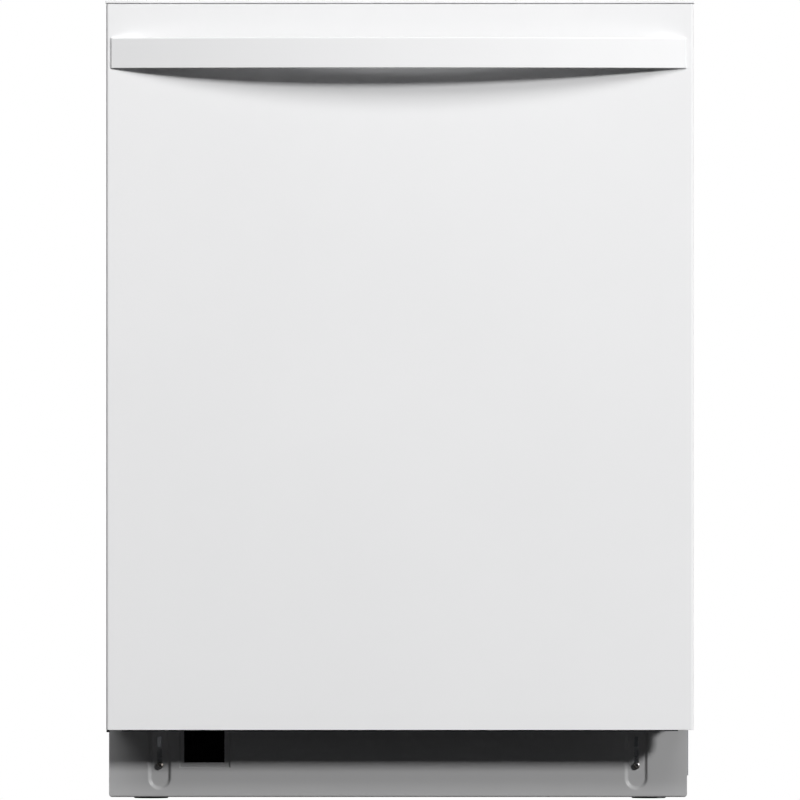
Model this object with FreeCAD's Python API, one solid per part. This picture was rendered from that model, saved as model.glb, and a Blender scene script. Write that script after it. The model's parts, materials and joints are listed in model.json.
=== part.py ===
import FreeCAD, Part
import math
import os

# Built-in dishwasher, 24 inch standard opening. Millimetres, +Z up, front towards -Y.
# Depth positions are given as d, the distance behind the front face of the door.

# ---------------------------------------------------------------- driving dimensions
DOOR_WIDTH = 598.5
DOOR_BOTTOM = 71.8
HEIGHT = 815.0
DEPTH = 605.0
HANDLE_REACH = 36.0
DOOR_DEPTH = 53.0
DOOR_Y = -DEPTH / 2 + HANDLE_REACH

HINGE_D = 25.0
HINGE_Z = 101.0

SKIN = 1.0
SIDE_BEND = 2.5
PANEL_TOP_WIDTH = 600.0
SEAM_Z = 812.3

HANDLE_HALF = 293.0
HANDLE_Z0 = 746.0
HANDLE_Z1 = 777.0
HANDLE_THICK = 5.0
HANDLE_END = 1.5
HANDLE_SHIFT = -1.4

TUB_HALF = 273.0
TUB_FRONT = 58.0
TUB_BACK = 548.0
TUB_BOTTOM = 127.0
TUB_TOP = 785.0
TUB_WALL = 1.0
TRACK_TOP = 132.7

SUMP_D = 270.0
SUMP_R = 92.0
ARM_D = 330.0
FILTER_D = 235.0
FILTER_R = 37.0
VALVE_X = -180.0
VALVE_D = 136.0
CABLE_X = 177.5
CABLE_D = 120.0

TOE_D = 64.0
TOE_WIDTH = 591.0
TOE_SHIFT = -1.9
TOE_Z0 = 2.0
TOE_Z1 = 84.0
TOE_SHEET = 1.2
SLOT_INSET = 51.8
SLOT_WIDTH = 4.6
VENT_INSET = 76.8
VENT_WIDTH = 41.2

WIRE = 2.0
RIM = 2.6
LOWER_HALF = 246.0
LOWER_FRONT = 86.0
LOWER_BACK = 502.0
LOWER_FLOOR = 182.0
LOWER_RIM = 330.0
WHEEL_R = 13.0
WHEEL_Z = 146.0
WHEEL_D = (140.0, 250.0, 360.0, 470.0)

UPPER_HALF = 236.0
UPPER_FRONT = 90.0
UPPER_BACK = 500.0
UPPER_FLOOR = 482.0
UPPER_RIM = 610.0
RAIL_Z = 590.0
RAIL_FRONT = 76.0
RAIL_BACK = 520.0


# ---------------------------------------------------------------- helpers
def vec(x, d, z):
    return FreeCAD.Vector(x, DOOR_Y + d, z)


def box(x0, x1, d0, d1, z0, z1):
    return Part.makeBox(x1 - x0, d1 - d0, z1 - z0, vec(x0, d0, z0))


def rod(start, end, radius):
    a = vec(*start)
    b = vec(*end)
    return Part.makeCylinder(radius, a.distanceToPoint(b), a, b - a)


def tube(start, end, outer, inner):
    return rod(start, end, outer).cut(rod(start, end, inner))


def along_x(x0, x1, d, z, radius):
    return rod((x0, d, z), (x1, d, z), radius)


def along_y(x, d0, d1, z, radius):
    return rod((x, d0, z), (x, d1, z), radius)


def along_z(x, d, z0, z1, radius):
    return rod((x, d, z0), (x, d, z1), radius)


def fuse(first, *others):
    return first.fuse(list(others)).removeSplitter()


def rounded(shape, radius, picker):
    edges = [edge for edge in shape.Edges if picker(edge)]
    return shape.makeFillet(radius, edges)


def is_along(edge, axis):
    box_of = edge.BoundBox
    sizes = [box_of.XLength, box_of.YLength, box_of.ZLength]
    rest = [size for i, size in enumerate(sizes) if i != axis]
    return sizes[axis] > 0.01 and max(rest) < 0.01


def stadium(x, d0, d1, z0, z1, width):
    r = width / 2
    low = along_y(x, d0, d1, z0 + r, r)
    high = along_y(x, d0, d1, z1 - r, r)
    middle = box(x - r, x + r, d0, d1, z0 + r, z1 - r)
    return fuse(middle, low, high)


def mirror(shape):
    return shape.mirror(FreeCAD.Vector(0, 0, 0), FreeCAD.Vector(1, 0, 0))


def both_sides(shapes):
    return list(shapes) + [mirror(shape) for shape in shapes]


def save(name, shapes):
    solids = []
    for shape in shapes:
        solids.extend(shape.Solids)
    result = solids[0] if len(solids) == 1 else Part.makeCompound(solids)
    result.exportStep("parts/" + name + ".step")


os.makedirs("parts", exist_ok=True)

# ---------------------------------------------------------------- base pan
floor = box(-295, 295, 74, 551, 24, 27)
front_wall = box(-295, 295, 74, 77, 27, 42)
back_wall = box(-295, 295, 548, 551, 27, 112)
base_parts = [front_wall, back_wall]
for side in (-1, 1):
    x0, x1 = sorted((side * 292, side * 295))
    base_parts.append(box(x0, x1, 74, 551, 27, 112))
    anchor0, anchor1 = sorted((side * 279, side * 292))
    base_parts.append(box(anchor0, anchor1, 304, 312, 84, 112))
    for d in (150, 530):
        post0, post1 = sorted((side * 250, side * 268))
        base_parts.append(box(post0, post1, d, d + 16, 27, TUB_BOTTOM))
    base_parts.append(along_z(side * 255, 110, 8.3, 52, 16))
    screw_x = TOE_SHIFT + side * (TOE_WIDTH / 2 - SLOT_INSET)
    base_parts.append(box(screw_x - 7, screw_x + 7, 77, 86, 27, 42))
base_parts.append(along_z(0, 505, 8.3, 52, 16))
base_pan = fuse(floor, *base_parts)
for x, d in ((-255, 110), (255, 110), (0, 505)):
    base_pan = base_pan.cut(along_z(x, d, 5, 60, 6.06))
for side in (-1, 1):
    screw_x = TOE_SHIFT + side * (TOE_WIDTH / 2 - SLOT_INSET)
    base_pan = base_pan.cut(along_y(screw_x, 70, 84, 34, 2.0))
base_pan = base_pan.cut(along_y(-200, 540, 560, 85, 11))
for x, d, reach in ((VALVE_X, VALVE_D, 19), (CABLE_X, CABLE_D, 21)):
    base_pan = base_pan.cut(box(x - reach, x + reach, d - reach, d + reach, 20, 30))
save("base_pan", [base_pan])

# ---------------------------------------------------------------- levelling feet
def foot(x, d):
    pad = along_z(x, d, 0, 8, 18)
    pad = rounded(pad, 1.5, lambda edge: abs(edge.CenterOfMass.z - 8) < 0.1)
    return fuse(pad, along_z(x, d, 8, 78, 6.0))


save("foot_front_left", [foot(-255, 110)])
save("foot_front_right", [foot(255, 110)])
save("foot_rear", [foot(0, 505)])

# ---------------------------------------------------------------- tub
tub_solid = box(-TUB_HALF, TUB_HALF, TUB_FRONT, TUB_BACK, TUB_BOTTOM, TUB_TOP)
tub_solid = rounded(
    tub_solid, 26,
    lambda edge: is_along(edge, 1) or abs(edge.CenterOfMass.y - DOOR_Y - TUB_BACK) < 0.1,
)
open_faces = [f for f in tub_solid.Faces if abs(f.CenterOfMass.y - DOOR_Y - TUB_FRONT) < 0.1]
tub = tub_solid.makeThickness(open_faces, -TUB_WALL, 0.01)
for side in (-1, 1):
    x0, x1 = sorted((side * 229, side * 243))
    track = box(x0, x1, TUB_FRONT, 510, TUB_BOTTOM + 0.5, TRACK_TOP)
    track = rounded(track, 2.0, lambda edge: is_along(edge, 1) and edge.CenterOfMass.z > 130)
    tub = tub.fuse(track)
tub = tub.removeSplitter()
tub = tub.cut(along_z(0, SUMP_D, 120, 140, SUMP_R - 6))
tub = tub.cut(along_y(0, 540, 560, 172, 10))
save("tub", [tub])

# ---------------------------------------------------------------- front frame
ring = box(-297, 297, 56, 58, 112, 811)
ring = ring.cut(box(-268, 268, 50, 60, 128, 784))
for side in (-1, 1):
    x0, x1 = sorted((side * 285.5, side * 300))
    ring = ring.cut(box(x0, x1, 50, 60, 100, 118))
    x0, x1 = sorted((side * 285.5, side * 292.5))
    ring = ring.cut(box(x0, x1, 50, 60, 100, 162))
ring = ring.cut(box(-15, 15, 50, 60, 797.5, 808))
frame_top = box(-297, 297, 58, 95, 810, 811)
front_frame = fuse(ring, frame_top, box(296, 297, 58, 95, 118, 810), box(-297, -296, 58, 95, 118, 810))
save("front_frame", [front_frame])

# ---------------------------------------------------------------- felt jacket, gasket
jacket = box(-283, 283, 98, 540, 150, 795)
jacket = rounded(jacket, 30, lambda edge: is_along(edge, 1) and edge.CenterOfMass.z > 700)
inside = box(-273.5, 273.5, 90, 550, 140, 785.5)
inside = rounded(inside, 25, lambda edge: is_along(edge, 1) and edge.CenterOfMass.z > 700)
save("felt_jacket", [jacket.cut(inside)])

gasket = box(-284, 284, 53.4, 56, 130, 796)
gasket = gasket.cut(box(-273, 273, 50, 60, 120, 786))
gasket = rounded(
    gasket, 1.2,
    lambda edge: abs(edge.CenterOfMass.y - DOOR_Y - 53.4) < 0.1 and edge.Length > 300,
)
save("tub_gasket", [gasket])

# ---------------------------------------------------------------- fixings to the kitchen
def worktop_bracket(x):
    foot_plate = box(x - 20, x + 20, 62, 92, 811, 812.2)
    riser = box(x - 20, x + 20, 90.8, 92, 812.2, HEIGHT)
    tab = box(x - 20, x + 20, 92, 122, HEIGHT - 1.2, HEIGHT)
    bracket = fuse(foot_plate, riser, tab)
    for offset in (-12, 12):
        bracket = bracket.cut(along_z(x + offset, 108, 805, 820, 2.5))
    return bracket


save("worktop_brackets", both_sides([worktop_bracket(215)]))

# ---------------------------------------------------------------- hinge brackets, springs, strike
bracket = box(295, 297, 16, 100, 86, 116)
bracket = rounded(bracket, 8, lambda edge: is_along(edge, 0) and edge.CenterOfMass.y < DOOR_Y + 20)
pin = along_x(286, 295, HINGE_D, HINGE_Z, 5.0)
save("hinge_brackets", both_sides([fuse(bracket, pin)]))

spring_body = along_y(281, 92, 290, 92, 6)
spring_front = fuse(along_y(281, 74, 92, 92, 1.5), along_x(279.6, 292, 74, 92, 1.5))
spring_rear = along_y(281, 290, 304, 92, 1.5)
save("door_springs", both_sides([fuse(spring_body, spring_front, spring_rear)]))

strike = along_x(-19, 19, 61, 809, 1.0)
strike = fuse(strike, box(-21, -17, 58, 64, 800, 810), box(17, 21, 58, 64, 800, 810))
save("latch_strike", [strike])

# ---------------------------------------------------------------- sump, filters and pumps
sump = along_z(0, SUMP_D, 62, TUB_BOTTOM, SUMP_R)
sump = sump.cut(along_z(0, SUMP_D, 65, 130, SUMP_R - 3))
save("sump", [sump])

plate = along_z(0, SUMP_D, 128.2, 130.2, 98)
plate = plate.cut(along_z(0, FILTER_D, 120, 140, FILTER_R + 0.6))
for ring_r in (55, 70, 85):
    for step in range(24):
        angle = math.radians(step * 15)
        hole_x = ring_r * math.cos(angle)
        hole_d = SUMP_D + ring_r * math.sin(angle)
        clear_filter = math.hypot(hole_x, hole_d - FILTER_D) > FILTER_R + 5
        clear_hub = math.hypot(hole_x, hole_d - ARM_D) > 22
        if clear_filter and clear_hub:
            plate = plate.cut(along_z(hole_x, hole_d, 125, 135, 2.5))
hub = fuse(along_z(0, ARM_D, 130.2, 143, 16), along_z(0, ARM_D, 143, 160, 8.0))
save("flat_filter", [fuse(plate, hub)])

cylinder = tube((0, FILTER_D, 74), (0, FILTER_D, 131.5), FILTER_R - 2, FILTER_R - 3.2)
collar = tube((0, FILTER_D, 131.5), (0, FILTER_D, 134), FILTER_R + 5, FILTER_R - 3.2)
grip = box(-3, 3, FILTER_D - FILTER_R - 1, FILTER_D + FILTER_R + 1, 134, 145)
grip = rounded(grip, 2.0, lambda edge: is_along(edge, 1) and edge.CenterOfMass.z > 140)
save("filter_cylinder", [fuse(cylinder, collar, grip)])

pump = fuse(
    along_x(SUMP_R, 100, 300, 80, 18),
    along_x(100, 130, 300, 78, 46),
    along_x(130, 205, 300, 78, 38),
    box(130, 200, 280, 320, 27, 60),
)
save("circulation_pump", [pump])

small_pump = fuse(
    along_x(-106, -SUMP_R, 260, 76, 10),
    along_x(-122, -106, 260, 72, 30),
    along_x(-165, -122, 260, 72, 24),
    box(-160, -124, 248, 272, 27, 52),
)
save("drain_pump", [small_pump])

outlet = fuse(along_y(-200, 500, 551, 85, 8.5), along_y(-200, 551, 569, 85, 9.5))
outlet = outlet.cut(along_y(-200, 505, 570, 85, 7.0))
elbow = fuse(outlet, box(-212, -188, 488, 500, 27, 98))
save("drain_outlet", [elbow])

valve = box(VALVE_X - 20, VALVE_X + 20, VALVE_D - 24, VALVE_D + 24, 45, 92)
legs = [box(x, x + 4, VALVE_D - 24, VALVE_D + 24, 27, 60) for x in (VALVE_X - 24, VALVE_X + 20)]
valve = fuse(valve, *legs)
valve = fuse(valve, along_z(VALVE_X, VALVE_D, 27, 45, 13.1), along_z(VALVE_X, VALVE_D, 92, 116, 12))
valve = valve.cut(along_z(VALVE_X, VALVE_D, 20, 44, 9))
save("inlet_valve", [valve])

case = box(150, 205, CABLE_D - 25, CABLE_D + 25, 27, 82)
case = case.cut(box(151.5, 203.5, CABLE_D - 23.5, CABLE_D + 23.5, 28.5, 80.5))
case = case.cut(along_z(CABLE_X, CABLE_D, 20, 35, 11.1))
save("junction_box", [case])

brace = box(-280, 280, 551, 569, 24, 60).cut(box(-290, 290, 551, 567.5, 25.5, 58.5))
save("rear_brace", [brace])

# ---------------------------------------------------------------- spray system
riser_tube = box(-18, 18, 530, 547, 156, 759)
riser_tube = rounded(riser_tube, 4, lambda edge: is_along(edge, 2))
top_run = box(-14, 14, 300, 532, 747, 759)
port = along_y(0, 512, 532, 470, 12)
top_hub = along_z(0, 314, 732, 747, 7.0)
elbow_pipe = along_y(0, 547, 554, 172, 9.9)
save("spray_feed_tube", [fuse(riser_tube, top_run, port, top_hub, elbow_pipe)])


def spray_arm(d, z, length, hub_r, bore_r, thick):
    blade = box(-length, length, d - 24, d + 24, z, z + thick)
    blade = rounded(blade, 20, lambda edge: is_along(edge, 2))
    middle = along_z(0, d, z - 4, z + thick + 4, hub_r)
    arm = fuse(blade, middle)
    for side in (-1, 1):
        for k in range(5):
            hole_x = side * (60 + k * (length - 80) / 4)
            hole_d = d + side * (8 if k % 2 else -8)
            arm = arm.cut(along_z(hole_x, hole_d, z + thick / 2, z + thick + 1, 2))
    return arm.cut(along_z(0, d, z - 10, z + thick + 10, bore_r))


lower_arm = spray_arm(ARM_D, 148, 190, 24, 8.06, 9)
save("lower_spray_arm", [lower_arm])

UPPER_ARM_D = 300
upper_arm = spray_arm(UPPER_ARM_D, 438, 205, 20, 6.06, 8)
save("upper_spray_arm", [upper_arm])

top_arm = spray_arm(314, 736, 70, 16, 7.06, 5)
save("top_spray_rotor", [top_arm])

feed = fuse(
    along_y(0, UPPER_ARM_D, 511, 470, 9),
    along_z(0, UPPER_ARM_D, 430, 477, 6.0),
    along_z(0, UPPER_ARM_D, 454, 478, 14),
    along_z(0, UPPER_ARM_D, 426, 430, 9),
)
save("upper_arm_feed", [feed])

# ---------------------------------------------------------------- racks
def wire_basket(half, front, back, floor_z, rim_z, count_x, count_d):
    wires = []
    step_d = (back - front) / count_d
    for k in range(count_d + 1):
        d = front + k * step_d
        wires.append(along_x(-half, half, d, floor_z, WIRE))
    step_x = 2 * half / count_x
    for k in range(count_x + 1):
        x = -half + k * step_x
        wires.append(along_y(x, front, back, floor_z + 2 * WIRE, WIRE))
        top = rim_z - RIM
        low = floor_z + 3 * WIRE
        wires.append(along_z(x, front, low, top, WIRE))
        wires.append(along_z(x, back, low, top, WIRE))
    for k in range(1, count_d):
        d = front + k * step_d
        for side in (-1, 1):
            wires.append(along_z(side * half, d, floor_z + 3 * WIRE, rim_z - RIM, WIRE))
    wires.append(along_x(-half - RIM, half + RIM, front, rim_z, RIM))
    wires.append(along_x(-half - RIM, half + RIM, back, rim_z, RIM))
    for side in (-1, 1):
        wires.append(along_y(side * half, front + RIM, back - RIM, rim_z, RIM))
    return wires


lower_wires = wire_basket(LOWER_HALF, LOWER_FRONT, LOWER_BACK, LOWER_FLOOR, LOWER_RIM, 12, 8)
for d in WHEEL_D:
    for side in (-1, 1):
        hanger0, hanger1 = sorted((side * 216, side * 222))
        hanger = box(hanger0, hanger1, d - 8, d + 8, WHEEL_Z - 8, LOWER_FLOOR - WIRE)
        lower_wires.append(hanger.cut(along_x(-300, 300, d, WHEEL_Z, 4.06)))
save("lower_rack", lower_wires)

tines = []
for x in (-205, -164, -123, -82):
    for k in range(7):
        d = 130 + k * 26
        tines.append(along_z(x + 10, d, LOWER_FLOOR + 3 * WIRE, 282, 1.8))
save("lower_rack_tines", tines)

fold_bar = along_x(40, 232, 340, 194, 2.2)
fold = [fold_bar]
for k in range(7):
    fold.append(along_z(54 + k * 27, 340, 196.2, 300, 1.8))
save("folding_tines", [fuse(*fold)])

for number, d in enumerate(WHEEL_D):
    pair = []
    for side in (-1, 1):
        tyre0, tyre1 = sorted((side * 231, side * 241))
        axle0, axle1 = sorted((side * 214, side * 231))
        wheel = along_x(tyre0, tyre1, d, WHEEL_Z, WHEEL_R)
        wheel = wheel.cut(along_x(tyre1 - 3 if side > 0 else tyre0 - 1,
                                  tyre1 + 1 if side > 0 else tyre0 + 3, d, WHEEL_Z, 9))
        pair.append(fuse(wheel, along_x(axle0, axle1, d, WHEEL_Z, 4.0)))
    save("lower_wheels_" + str(number + 1), pair)

basket = box(60, 224, 96, 172, 190.3, 300)
for k in range(2):
    for j in range(3):
        x = 63 + j * 53.5
        d = 99 + k * 36.5
        basket = basket.cut(box(x, x + 51, d, d + 33.5, 193, 310))
carry = fuse(box(60, 66, 131, 137, 300, 322), box(218, 224, 131, 137, 300, 322))
carry = fuse(carry, box(60, 224, 131, 137, 322, 328))
save("cutlery_basket", [fuse(basket, carry)])

upper_wires = wire_basket(UPPER_HALF, UPPER_FRONT, UPPER_BACK, UPPER_FLOOR, UPPER_RIM, 12, 8)
for side in (-1, 1):
    for d in (345, 485):
        glide0, glide1 = sorted((side * (UPPER_HALF + WIRE), side * 258.4))
        arm_block = box(glide0, glide1, d - 6, d + 6, RAIL_Z - 4, RAIL_Z + 4)
        shoe0, shoe1 = sorted((side * 251, side * 258.4))
        shoe = box(shoe0, shoe1, d - 10, d + 10, RAIL_Z - 7, RAIL_Z + 7)
        upper_wires.append(fuse(arm_block, shoe))
for x in (-150, -90, 90, 150):
    for k in range(8):
        d = 135 + k * 45
        upper_wires.append(along_z(x - 9, d, UPPER_FLOOR + 3 * WIRE, 550, 1.8))
save("upper_rack", upper_wires)

shelf_bar = along_y(-226, 130, 460, 575, 3)
shelf_wires = [shelf_bar]
for k in range(8):
    shelf_wires.append(along_x(-226, -126, 137 + k * 45, 575, 2))
shelf_wires.append(along_y(-126, 130, 460, 575, 2.5))
save("cup_shelf", [fuse(*shelf_wires)])

rail = box(250, 260, RAIL_FRONT, RAIL_BACK, RAIL_Z - 9, RAIL_Z + 9)
rail = rail.cut(box(249, 258.8, RAIL_FRONT - 1, RAIL_BACK + 1, RAIL_Z - 7.8, RAIL_Z + 7.8))
save("upper_rails", both_sides([rail]))

roller_sets = []
for d in (92, 236):
    carrier = box(265, 272, d - 14, d + 14, RAIL_Z - 24, RAIL_Z + 24)
    high = along_x(251, 265, d, RAIL_Z + 15.4, 6)
    low = along_x(251, 265, d, RAIL_Z - 15.4, 6)
    roller_sets.append(fuse(carrier, high, low))
save("rail_rollers", both_sides(roller_sets))

# ---------------------------------------------------------------- door
half = DOOR_WIDTH / 2
skin_top = SEAM_Z - 0.6
sleeve = box(-half, half, 0, 24, DOOR_BOTTOM, skin_top)
sleeve = rounded(sleeve, SIDE_BEND, lambda edge: is_along(edge, 2) and edge.CenterOfMass.y < DOOR_Y + 1)
room = box(-half + SKIN, half - SKIN, SKIN, 30, DOOR_BOTTOM - 1, skin_top + 1)
room = rounded(room, SIDE_BEND - SKIN, lambda edge: is_along(edge, 2) and edge.CenterOfMass.y < DOOR_Y + 2)
notch = box(half - 1.5, half + 1, 3.2, 25, DOOR_BOTTOM - 1, DOOR_BOTTOM + 4)
outer = sleeve.cut(room).cut(notch).cut(mirror(notch))
outer = fuse(outer, box(-284, 284, SKIN / 2, 24, DOOR_BOTTOM, DOOR_BOTTOM + SKIN))
for x in (HANDLE_SHIFT - HANDLE_HALF + 13, HANDLE_SHIFT + HANDLE_HALF - 13):
    for z in (755, 768):
        outer = outer.cut(along_y(x, -1, 2, z, 2.0))
save("door_outer_panel", [outer])

save("door_sound_mat", [box(-250, 250, SKIN, 4.2, 112, 735)])

liner = box(-296.5, 296.5, 25, DOOR_DEPTH, 96, 784)
for side in (-1, 1):
    x0, x1 = sorted((side * 285, side * 300))
    liner = liner.cut(box(x0, x1, 20, 60, 90, 122))
liner = rounded(
    liner, 6,
    lambda edge: abs(edge.CenterOfMass.y - DOOR_Y - DOOR_DEPTH) < 0.01 and edge.Length > 500,
)
front_faces = [f for f in liner.Faces if abs(f.CenterOfMass.y - DOOR_Y - 25) < 0.1]
liner = liner.makeThickness(front_faces, -1.0, 0.01)
liner = liner.cut(box(-70, 90, 45, 60, 430, 600))
save("door_inner_liner", [liner])

top_half = PANEL_TOP_WIDTH / 2
cap = box(-top_half, top_half, -1, DOOR_DEPTH, SEAM_Z, HEIGHT)
cap = rounded(
    cap, 0.8,
    lambda edge: is_along(edge, 0) and edge.CenterOfMass.z > HEIGHT - 0.1,
)
panel_parts = [
    box(-297, 297, 1.4, 4, 786, SEAM_Z),
    box(-297, 297, 50.5, DOOR_DEPTH, 784, SEAM_Z),
    box(-297, -294.5, 4, 50.5, 786, SEAM_Z),
    box(294.5, 297, 4, 50.5, 786, SEAM_Z),
    box(10, 13, 36, 50.5, 797, SEAM_Z),
    box(-13, -10, 36, 50.5, 797, SEAM_Z),
    along_x(-10, 10, 40, 802.5, 1.55),
]
control_panel = fuse(cap, *panel_parts)
control_panel = control_panel.cut(box(-9.5, 9.5, 49, 55, 795, 808))
KEY_D = 27.0
ROUND_KEYS = {"power_key": (-250, 8.0), "start_key": (250, 8.0)}
PROGRAM_KEYS = {"program_key_1": -70, "program_key_2": -35, "program_key_3": 0}
for x, radius in ROUND_KEYS.values():
    control_panel = control_panel.cut(along_z(x, KEY_D, 805, 820, radius + 0.35))
for x in PROGRAM_KEYS.values():
    control_panel = control_panel.cut(box(x - 10.35, x + 10.35, KEY_D - 5.35, KEY_D + 5.35, 805, 820))
control_panel = control_panel.cut(box(50, 120, KEY_D - 9, KEY_D + 9, 813.6, 820))
control_panel = control_panel.cut(box(58, 112, KEY_D - 6, KEY_D + 6, 805, 820))
save("control_panel", [control_panel])

save("display_window", [box(50.2, 119.8, KEY_D - 8.8, KEY_D + 8.8, 813.6, 814.8)])

for name, (x, radius) in ROUND_KEYS.items():
    cap_top = rounded(along_z(x, KEY_D, 810.9, 814.7, radius), 0.6,
                      lambda edge: edge.CenterOfMass.z > 814)
    save(name, [fuse(cap_top, along_z(x, KEY_D, 809.4, 810.9, radius + 1.8))])
for name, x in PROGRAM_KEYS.items():
    cap_top = rounded(box(x - 10, x + 10, KEY_D - 5, KEY_D + 5, 810.9, 814.7), 0.6,
                      lambda edge: abs(edge.CenterOfMass.z - 814.7) < 0.05)
    save(name, [fuse(cap_top, box(x - 11.5, x + 11.5, KEY_D - 6.5, KEY_D + 6.5, 809.4, 810.9))])

module = box(-100, 130, 8, 46, 750, 780)
module = fuse(module, box(60, 90, 10, 22, 780, 796), box(-262, 262, 12, 35, 796, 806))
save("control_module", [module])

# bowed bar handle: two arcs in plan, cut off at the door face
def arc_disc(ends_d, peak_d, z0, z1):
    rise = ends_d - peak_d
    radius = (HANDLE_HALF ** 2 + rise ** 2) / (2 * rise)
    return along_z(HANDLE_SHIFT, peak_d + radius, z0, z1, radius)


handle_x0 = HANDLE_SHIFT - HANDLE_HALF
handle_x1 = HANDLE_SHIFT + HANDLE_HALF
front_disc = arc_disc(-HANDLE_END, -HANDLE_REACH, HANDLE_Z0, HANDLE_Z1)
back_disc = arc_disc(-HANDLE_END + HANDLE_THICK, -HANDLE_REACH + HANDLE_THICK, HANDLE_Z0 - 1, HANDLE_Z1 + 1)
window = box(handle_x0, handle_x1, -HANDLE_REACH - 1, 0, HANDLE_Z0, HANDLE_Z1)
bar = front_disc.common(window)
bar = rounded(bar, 0.8, lambda edge: edge.Length > 550 and edge.CenterOfMass.y < DOOR_Y - 3)
hollow = back_disc.common(box(handle_x0 + 28, handle_x1 - 28, -40, 5, HANDLE_Z0 - 1, HANDLE_Z1 + 1))
handle = bar.cut(hollow)
for x in (handle_x0 + 13, handle_x1 - 13):
    for z in (755, 768):
        handle = handle.cut(along_y(x, -3.2, 1, z, 2.0))
save("handle_bar", [handle])

screws = []
for x in (handle_x0 + 13, handle_x1 - 13):
    for z in (755, 768):
        screws.append(fuse(along_y(x, -3, SKIN, z, 2.0), along_y(x, SKIN, 3.4, z, 4)))
save("handle_screws", screws)

arm = box(287.5, 290.5, 4.5, 20, 112, 330)
eye = along_x(287.5, 290.5, HINGE_D, HINGE_Z, 12)
neck = box(287.5, 290.5, 13, 24, 96, 120)
tail = box(287.5, 290.5, HINGE_D, 80, 86, 98)
arm = fuse(arm, eye, neck, tail)
arm = arm.cut(along_x(280, 300, HINGE_D, HINGE_Z, 5.06))
arm = arm.cut(along_x(280, 300, 74, 92, 2.0))
save("hinge_arms", both_sides([arm]))

trim = box(-283.5, 283.5, 3, 22, DOOR_BOTTOM - 1.2, DOOR_BOTTOM)
corner = box(half - 1.2, half - 0.2, 3.5, 22, DOOR_BOTTOM, DOOR_BOTTOM + 3.8)
save("door_bottom_trim", [trim, corner, mirror(corner)])

# ---------------------------------------------------------------- dispenser and latch
body = box(-69.5, 89.5, 30, 54, 430.5, 599.5)
body = fuse(body, box(-72, 92, DOOR_DEPTH, 54, 428, 602))
body = body.cut(box(-52, 4, 36, 60, 444, 518))
for x in (-66, 14):
    body = fuse(body, box(x, x + 4, 54, 58.4, 436, 596))
body = fuse(body, box(-62, -60, 57.4, 58.4, 436, 596), box(12, 14, 57.4, 58.4, 436, 596))
body = body.cut(along_y(54, 50, 60, 520, 9.06))
save("dispenser_body", [body])

lid = box(-61.6, 13.6, 54.3, 57.0, 438, 524)
lid = fuse(lid, box(-40, -8, 57.0, 59.4, 446, 451))
save("dispenser_lid", [lid])

rinse = fuse(along_y(54, 51, 54.4, 520, 9.0), along_y(54, 54.4, 57, 520, 18))
rinse = fuse(rinse, box(38, 70, 57, 61, 517, 523))
save("rinse_cap", [rinse])

pawl = fuse(box(-8, 8, 40, 68, 800.5, 804.5), along_x(-8, 8, 40, 802.5, 4))
pawl = pawl.cut(along_x(-10, 10, 40, 802.5, 1.6))
save("latch_pawl", [pawl])

# ---------------------------------------------------------------- toe-kick
toe_left = TOE_SHIFT - TOE_WIDTH / 2
toe_right = TOE_SHIFT + TOE_WIDTH / 2
toe = box(toe_left, toe_right, TOE_D, TOE_D + TOE_SHEET, TOE_Z0, TOE_Z1)
toe = fuse(toe, box(toe_left, toe_right, TOE_D + TOE_SHEET, TOE_D + 8, TOE_Z0, TOE_Z0 + TOE_SHEET))
toe_screws = []
for side in (-1, 1):
    x = TOE_SHIFT + side * (TOE_WIDTH / 2 - SLOT_INSET)
    dish = stadium(x, TOE_D + TOE_SHEET, TOE_D + 3.4, 8, 80, 24 + 2 * TOE_SHEET)
    toe = toe.fuse(dish)
    recess = stadium(x, TOE_D - 1, TOE_D + 3.4 - TOE_SHEET, 8 + TOE_SHEET, 80 - TOE_SHEET, 24)
    toe = toe.cut(recess)
    toe = toe.cut(stadium(x, TOE_D - 1, TOE_D + 5, 31.5, 64, SLOT_WIDTH))
    head = along_y(x, TOE_D - 0.6, TOE_D + 1.9, 34, 3.6)
    head = head.cut(box(x - 2, x + 2, TOE_D - 1, TOE_D + 0.6, 33.6, 34.4))
    head = head.cut(box(x - 0.4, x + 0.4, TOE_D - 1, TOE_D + 0.6, 32, 36))
    toe_screws.append(fuse(head, along_y(x, TOE_D + 1.9, TOE_D + 19, 34, 2.0)))
vent0 = toe_left + VENT_INSET
vent1 = vent0 + VENT_WIDTH
pad = box(vent0 - 5, vent1 + 5, TOE_D + TOE_SHEET, TOE_D + 2.4, 30, 82)
toe = toe.fuse(pad)
toe = toe.cut(box(vent0 - 4, vent1 + 4, TOE_D - 1, TOE_D + 1.2, 31, 81))
toe = toe.cut(box(vent0, vent1, TOE_D - 1, TOE_D + 5, 36, 78))
save("toe_kick_panel", [toe.removeSplitter()])
save("toe_kick_screws", toe_screws)

mesh = box(vent0 - 4, vent1 + 4, TOE_D + 2.4, TOE_D + 4.4, 32, 81)
for i in range(8):
    for j in range(8):
        x = vent0 + 0.6 + i * 5
        z = 36.6 + j * 5.2
        mesh = mesh.cut(box(x, x + 4, TOE_D, TOE_D + 6, z, z + 4.2))
save("toe_kick_grille", [mesh])
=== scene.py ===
import bpy
import bmesh
import json
import math
from mathutils import Vector, Matrix, noise


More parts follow.
